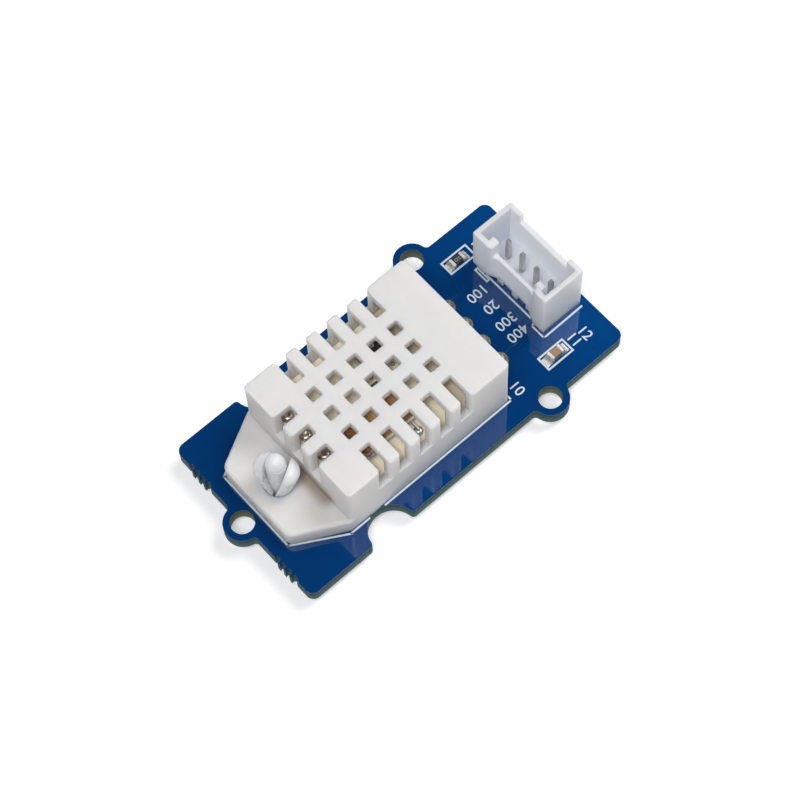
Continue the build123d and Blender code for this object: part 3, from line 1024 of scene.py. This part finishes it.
@dataclass
class SubAssembly:
    """Part of the module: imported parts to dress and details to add."""

    nodes: dict[str, bpy.types.Object]
    edge_angle: float = 32.0

    def finishes(self) -> dict[str, Finish]:
        """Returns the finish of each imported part, by the start of its name."""
        raise NotImplementedError

    def details(self) -> Iterable[bpy.types.Object]:
        """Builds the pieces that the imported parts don't have."""
        return ()

    def build(self) -> None:
        """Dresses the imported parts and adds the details."""
        for start, finish in self.finishes().items():
            found = [obj for name, obj in self.nodes.items() if name.startswith(start)]
            for obj in found:
                finish.apply(obj)
                Bench.smooth_node(obj, self.edge_angle)
            LOG.info("dressed %s: %d parts in %s", start, len(found), finish.name)
        for piece in self.details():
            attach(piece, MODULE)
            LOG.info("built %s: %d faces", piece.name, len(piece.data.polygons))


@dataclass
class BoardPrint:
    """The white lines and digits printed on the board's two faces."""

    line: float = 0.19
    thickness: float = 0.02
    digit_size: float = 1.55

    def top(self) -> list[bpy.types.Object]:
        """Builds what is on the top face.

        Returns:
            Its lines and digits.
        """
        level = BOARD_TOP
        runs = [
            ((-18.35, -4.7), (-18.35, 4.7)),
            ((-18.35, -4.7), (-13.12, -7.77)),
            ((-18.35, 4.7), (-13.12, 7.77)),
            ((-13.12, -7.72), (-10.9, -7.72)),
            ((-13.12, 7.72), (-10.9, 7.72)),
            ((-8.85, -7.7), (7.24, -7.7)),
            ((-8.85, 7.7), (7.24, 7.7)),
            ((7.24, -7.7), (7.24, 7.7)),
            ((14.55, -2.47), (14.55, 3.81)),
            ((14.05, -4.96), (14.05, -3.17)),
            ((14.05, -3.17), (14.25, -3.17)),
            ((14.05, -4.96), (19.07, -4.9)),
        ]
        made = [Bench.strip(a, b, self.line, level, self.thickness) for a, b in runs]
        boxes = [
            ((11.98, 6.13), (15.32, 7.84)),
            ((11.99, -7.88), (15.32, -6.15)),
            ((14.0, 3.2), (14.5, 5.1)),
        ]
        made += [Bench.frame_of(a, b, self.line, level, self.thickness) for a, b in boxes]
        words = [
            ("100", (12.5, 2.98), Reading.TOWARDS_END),
            ("20", (12.5, 0.99), Reading.TOWARDS_END),
            ("300", (12.5, -1.14), Reading.TOWARDS_END),
            ("400", (12.5, -2.83), Reading.TOWARDS_END),
            ("12", (17.32, -7.23), Reading.ACROSS),
            ("11", (16.05, -7.05), Reading.ACROSS),
            ("13", (16.2, 6.95), Reading.ACROSS),
            ("10", (8.42, -7.15), Reading.ACROSS),
        ]
        middle = level + self.thickness / 2
        for text, place, reading in words:
            made.append(Bench.digits(text, place, self.digit_size, middle, self.thickness, reading))
        return made

    def bottom(self) -> list[bpy.types.Object]:
        """Builds what is on the bottom face.

        Returns:
            Its lines and digits.
        """
        level = BOARD_BOTTOM - self.thickness
        made = [
            Bench.frame_of((7.6, -5.6), (10.0, 5.6), self.line, level, self.thickness),
            Bench.frame_of((15.6, -4.0), (18.2, 5.2), self.line, level, self.thickness),
        ]
        middle = level + self.thickness / 2
        for text, place in (("1", (12.6, 3.48)), ("4", (12.6, -2.52)), ("10", (-6.0, 0.0))):
            made.append(
                Bench.digits(text, place, self.digit_size, middle, self.thickness, Reading.ACROSS, True)
            )
        return made

    def build(self) -> bpy.types.Object:
        """Builds the whole print.

        Returns:
            The print as one piece.
        """
        piece = Bench.join("board_print", self.top() + self.bottom())
        Ink("print_ink", (0.62, 0.69, 0.73), (0.5, 0.58, 0.64)).apply(piece)
        return piece


@dataclass
class MainBoard(SubAssembly):
    """The blue board with its print."""

    ears: tuple[Point, ...] = ((-20.0, 0.0), (10.2, -10.0), (10.2, 10.0))

    def _tracks(self) -> tuple[Track, ...]:
        """Lays out the copper tracks.

        Returns:
            The tracks, in the object's own frame.
        """
        shift = BOARD_SHIFT_X
        rows = [
            ((9.25, 3.81), (11.2, 3.81), (11.5, 3.58), (17.16, 3.58)),
            ((9.25, -3.81), (12.3, -4.0), (13.9, -2.42), (17.16, -2.42)),
            ((12.3, -4.0), (12.6, -7.0), (12.8, -7.0)),
            ((11.2, 3.81), (12.2, 7.0), (12.8, 7.0)),
        ]
        below = [
            ((8.6, -1.27), (12.0, -1.27), (12.75, -0.42), (17.16, -0.42)),
            ((8.6, 1.27), (12.0, 1.27), (12.2, 1.58), (17.16, 1.58)),
            ((-9.0, 5.0), (-4.0, 5.0), (0.0, 1.0), (6.0, 1.27), (8.6, 1.27)),
            ((-9.0, -4.0), (2.0, -4.0), (3.0, -3.81), (8.6, -3.81)),
        ]
        made = [Track(tuple((x + shift, y) for x, y in row)) for row in rows]
        made += [Track(tuple((x + shift, y) for x, y in row), 0.4, True) for row in below]
        return tuple(made)

    def finishes(self) -> dict[str, Finish]:
        """Describes the board's finish.

        Returns:
            The finish by the start of the part's name.
        """
        shift = BOARD_SHIFT_X
        pads = []
        for name in self.nodes:
            if name.startswith(("sensor_solder", "socket_solder")):
                low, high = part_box(name)
                pads.append(((low.x + high.x) / 2 / MM, (low.y + high.y) / 2 / MM))
        vias = ((-16.4, 7.6), (-15.2, -8.3), (10.9, 5.2), (10.4, -5.0), (13.2, 8.7), (16.9, -8.9))
        board = CircuitBoard(
            "solder_mask_blue",
            mask=(0.0, 0.041, 0.17),
            # Lighter blue of the painted reflection towards the socket end.
            mask_far=(0.0, 0.067, 0.26),
            mask_on_gap=(0.0, 0.037, 0.15),
            laminate=(0.07, 0.14, 0.13),
            laminate_dark=(0.025, 0.065, 0.075),
            laminate_bright=(0.3, 0.3, 0.18),
            tracks=self._tracks(),
            pads=tuple(pads),
            ears=tuple((x + shift, y) for x, y in self.ears),
            vias=tuple((x + shift, y) for x, y in vias),
        )
        return {"main_board": board}

    def details(self) -> Iterable[bpy.types.Object]:
        """Builds the print."""
        yield BoardPrint().build()


@dataclass
class SensorHead(SubAssembly):
    """The white vented housing, its cover and what is inside it."""

    inner_top: float = 6.8
    via_places: tuple[Point, ...] = ((-2.3, 1.63), (0.19, 1.33))
    via_hole: float = 0.1
    via_radius: float = 0.22
    via_height: float = 0.03
    # The chip's pale dot: partly its pin-1 mark, partly a painted highlight on the black resin.
    dot_place: Point = (-0.37, 3.71)
    dot_hole: float = 0.06
    dot_radius: float = 0.24
    dot_height: float = 0.02

    def finishes(self) -> dict[str, Finish]:
        """Describes the finishes of the housing and of what it holds.

        Returns:
            The finishes by the start of the parts' names.
        """
        pale = (0.81, 0.795, 0.785)
        tracks = (
            Track(((-3.0, 3.4), (-1.2, 3.4), (-0.4, 2.6)), 0.2),
            Track(((2.9, 0.6), (4.4, 0.6), (5.4, -0.8)), 0.25),
            Track(((-7.5, -2.6), (-5.0, -2.6), (-4.0, -4.6)), 0.25),
            Track(((-7.5, 2.6), (-3.6, 2.6), (-2.6, 1.2)), 0.25),
            Track(((0.6, -1.6), (3.8, -1.6), (5.2, -3.0)), 0.2),
        )
        inner = InnerLaminate(
            "bare_laminate", (0.94, 0.85, 0.66), (0.76, 0.64, 0.43), (0.96, 0.88, 0.68), tracks
        )
        return {
            # The shell gets painted shade at the foot of its end wall, beside the rivet.
            "sensor_shell": MouldedPlastic(
                "housing_white", pale, (0.795, 0.775, 0.76), corner=(-12.05, -2.5)
            ),
            "sensor_back_cover": MouldedPlastic("cover_white", pale, (0.7, 0.68, 0.65), 0.45),
            "sensor_circuit_board": inner,
            "humidity_plate": Ceramic("plate_ceramic", (0.72, 0.7, 0.64), (0.55, 0.52, 0.45)),
            "humidity_film": HumidityFilm("moisture_film", (0.4, 0.2, 0.085), (0.62, 0.35, 0.15)),
            "humidity_lead": Tin("lead_tin", roughness=0.3),
            "humidity_solder": Tin("small_solder", roughness=0.18, ripple=0.03),
            "thermistor_bead": Ceramic(
                "bead_glaze", (0.2, 0.075, 0.015), (0.32, 0.14, 0.03), 0.18, 0.01, 1.0
            ),
            "thermistor_lead": Tin("lead_steel", (0.42, 0.4, 0.38), (0.2, 0.19, 0.18), 0.3),
            "inner_solder": Tin("bump_solder", (0.66, 0.62, 0.56), (0.2, 0.17, 0.14), 0.16, 0.04),
            "controller_chip": Ceramic(
                "controller_resin", (0.012, 0.012, 0.014), (0.03, 0.03, 0.032), 0.42
            ),
            "controller_leads": Tin("chip_lead_tin", roughness=0.22),
            "inner_resistor": Ceramic("small_resistor", (0.02, 0.02, 0.022), (0.3, 0.3, 0.28), 0.4),
            "sensor_pin": Tin("sensor_pin_tin", roughness=0.2, streaks=(1.0, 1.0, 0.3)),
            "sensor_solder": Tin("joint_solder", (0.7, 0.69, 0.66), (0.36, 0.35, 0.33), 0.2, 0.05),
        }

    def details(self) -> Iterable[bpy.types.Object]:
        """Builds the plated through holes on the inner board and the chip's pale dot, partly its pin-1
        mark and partly a painted highlight.

        Yields:
            Each piece.
        """
        rings = [
            Bench.ring(place, self.via_hole, self.via_radius, self.inner_top, self.via_height)
            for place in self.via_places
        ]
        vias = Bench.join("inner_board_vias", rings)
        Tin("via_tin", (0.4, 0.4, 0.38), (0.12, 0.12, 0.12), 0.3).apply(vias)
        yield vias
        # Painted highlight: a pale ink dot on the chip, which also stands for its pin-1 mark.
        chip_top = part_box("controller_chip")[1].z / MM
        dot = Bench.ring(self.dot_place, self.dot_hole, self.dot_radius, chip_top, self.dot_height)
        dot.name = "chip_dot"
        Ink("dot_ink", (0.6, 0.62, 0.64), (0.4, 0.42, 0.44)).apply(dot)
        yield dot


@dataclass
class CableSocket(SubAssembly):
    """The open topped four pin socket."""

    def finishes(self) -> dict[str, Finish]:
        """Describes the socket's finishes.

        Returns:
            The finishes by the start of the parts' names.
        """
        white = MouldedPlastic(
            "socket_white",
            (0.86, 0.9, 1.0),
            (0.84, 0.885, 1.0),
            0.4,
            softness=1.0,
            reach=1.7,
            glow=(1.0, 1.0, 1.0),
        )
        return {
            "socket_housing": white,
            "socket_pin": Tin(
                "socket_pin_tin", (0.62, 0.61, 0.59), (0.38, 0.375, 0.36), 0.16, streaks=(1.0, 1.0, 0.25)
            ),
            "socket_solder": Tin("tail_solder", (0.7, 0.69, 0.66), (0.36, 0.35, 0.33), 0.2, 0.05),
        }


@dataclass
class ChipParts(SubAssembly):
    """The surface mounted resistor and capacitor."""

    marking: str = "222"
    marking_size: float = 0.5
    marking_height: float = 0.02

    def finishes(self) -> dict[str, Finish]:
        """Describes the two chips' finishes.

        Returns:
            The finishes by the start of the parts' names.
        """
        solder = Tin("fillet_solder", (0.82, 0.81, 0.78), (0.5, 0.49, 0.46), 0.3, 0.08, metallic=0.8)
        caps = Tin("cap_tin", (0.74, 0.73, 0.69), (0.5, 0.48, 0.44), 0.42, 0.03, metallic=0.5)
        return {
            "resistor_body": Ceramic("resistor_glaze", (0.022, 0.026, 0.025), (0.045, 0.05, 0.048), 0.3),
            "resistor_cap": caps,
            "resistor_solder": solder,
            "capacitor_body": Ceramic("capacitor_ceramic", (0.34, 0.22, 0.115), (0.25, 0.16, 0.08), 0.45),
            "capacitor_cap": caps,
            "capacitor_solder": solder,
        }

    def details(self) -> Iterable[bpy.types.Object]:
        """Builds the plain digits on the resistor.

        Yields:
            The digits.
        """
        low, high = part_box("resistor_body")
        centre = ((low.x + high.x) / 2 / MM - BOARD_SHIFT_X, (low.y + high.y) / 2 / MM)
        size, height, top = self.marking_size, self.marking_height, high.z / MM
        digits = Bench.digits(self.marking, centre, size, top, height, Reading.TOWARDS_END)
        digits.name = "resistor_digits"
        Ink("marking_ink", (0.36, 0.39, 0.38), (0.25, 0.27, 0.26)).apply(digits)
        yield digits


@dataclass
class PushRivet(SubAssembly):
    """The split rivet that holds the housing's tab to the board."""

    edge_angle: float = 45.0

    def finishes(self) -> dict[str, Finish]:
        """Describes the rivet's finishes.

        Returns:
            The finishes by the start of the parts' names.
        """
        cool = (0.84, 0.85, 0.88)
        milky = {"grain_depth": 0.001, "softness": 1.0, "reach": 1.4, "glow": (1.0, 1.0, 1.0)}
        return {
            "rivet_sleeve": MouldedPlastic("rivet_white", cool, (0.81, 0.82, 0.86), 0.28, **milky),
            "rivet_pin": MouldedPlastic("rivet_pin_white", cool, (0.82, 0.83, 0.87), 0.26, **milky),
        }


# ---------------------------------------------------------------- table, light and camera


@dataclass(frozen=True)
class Lamp:
    """A square soft box that faces the object."""

    name: str
    azimuth: float
    elevation: float
    power: float
    size: float = 0.3
    distance: float = 0.6

    def build(self) -> None:
        """Adds the lamp."""
        data = bpy.data.lights.new(self.name, "AREA")
        data.shape = "SQUARE"
        data.size = self.size
        data.energy = self.power
        obj = bpy.data.objects.new(self.name, data)
        bpy.context.scene.collection.objects.link(obj)
        around = math.radians(self.azimuth)
        up = math.radians(self.elevation)
        away = Vector((math.cos(up) * math.cos(around), math.cos(up) * math.sin(around), math.sin(up)))
        obj.location = away * self.distance
        obj.rotation_euler = away.to_track_quat("Z", "Y").to_euler()


@dataclass
class Studio:
    """The table, the lamps, the surrounding light and the camera."""

    table_size: float = 3.0
    table_rim: float = 0.05
    horizon: float = 0.2
    zenith: float = 0.03
    sky_fade: Point = (0.3, 0.8)
    lamps: tuple[Lamp, ...] = (
        Lamp("overhead_box", 212.0, 68.0, 1.85, 0.2),
        Lamp("side_box", 350.0, 58.0, 2.0),
    )
    camera_place: tuple[float, float, float] = (-0.057856, -0.074178, 0.21028)
    camera_right: tuple[float, float, float] = (0.74829, -0.66287, -0.02568)
    camera_up: tuple[float, float, float] = (0.61229, 0.67525, 0.41126)
    camera_forward: tuple[float, float, float] = (0.25527, 0.32347, -0.91116)
    lens: float = 106.78
    sensor_width: float = 36.0
    nearest: float = 0.01

    def table(self) -> None:
        """Adds the table: a plate with an inset rim."""
        Bench.clear()
        bpy.ops.mesh.primitive_plane_add(size=self.table_size, location=(0.0, 0.0, 0.0))
        top = bpy.context.object
        bpy.ops.object.mode_set(mode="EDIT")
        bpy.ops.mesh.select_all(action="SELECT")
        bpy.ops.mesh.inset(thickness=self.table_size * self.table_rim, depth=0.0)
        bpy.ops.object.mode_set(mode="OBJECT")
        Bench.settle(top, "table_top")
        TableTop("table_white").apply(top)
        top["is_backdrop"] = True
        LOG.info("built table_top")

    def world(self) -> None:
        """Writes the surrounding light: bright low down and dark overhead."""
        world = bpy.data.worlds.new("studio")
        bpy.context.scene.world = world
        sheet = ShaderSheet(world)
        direction = sheet.node("ShaderNodeTexCoord", output="Generated")
        high = sheet.axes(direction)[2].ramp(*self.sky_fade)
        strength = self.horizon + high * (self.zenith - self.horizon)
        light = sheet.node("ShaderNodeBackground", {}, {"Strength": strength})
        sheet.node_output(light, "ShaderNodeOutputWorld")

    def camera(self) -> None:
        """Places the camera where the photograph was taken from."""
        data = bpy.data.cameras.new("photo_camera")
        data.sensor_width = self.sensor_width
        data.lens = self.lens
        data.clip_start = self.nearest
        obj = bpy.data.objects.new("photo_camera", data)
        bpy.context.scene.collection.objects.link(obj)
        back = [-part for part in self.camera_forward]
        rows = zip(self.camera_right, self.camera_up, back, self.camera_place)
        obj.matrix_world = Matrix([*rows, (0.0, 0.0, 0.0, 1.0)])
        bpy.context.scene.camera = obj

    def build(self) -> None:
        """Adds everything round the object."""
        bpy.context.scene.view_settings.view_transform = "Standard"
        self.table()
        self.world()
        self.camera()
        for lamp in self.lamps:
            lamp.build()
            LOG.info("lit %s", lamp.name)


def main() -> None:
    """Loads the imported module, dresses it, and lights it."""
    logging.basicConfig(level=logging.INFO, format="%(message)s")
    for obj in list(bpy.data.objects):
        bpy.data.objects.remove(obj)
    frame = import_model()
    cad_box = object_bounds()
    for piece in (MainBoard, SensorHead, CableSocket, ChipParts, PushRivet):
        piece(frame["nodes"]).build()
    Studio().build()
    sizes = [[list(corner) for corner in box] for box in (cad_box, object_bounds())]


if __name__ == "__main__":
    main()
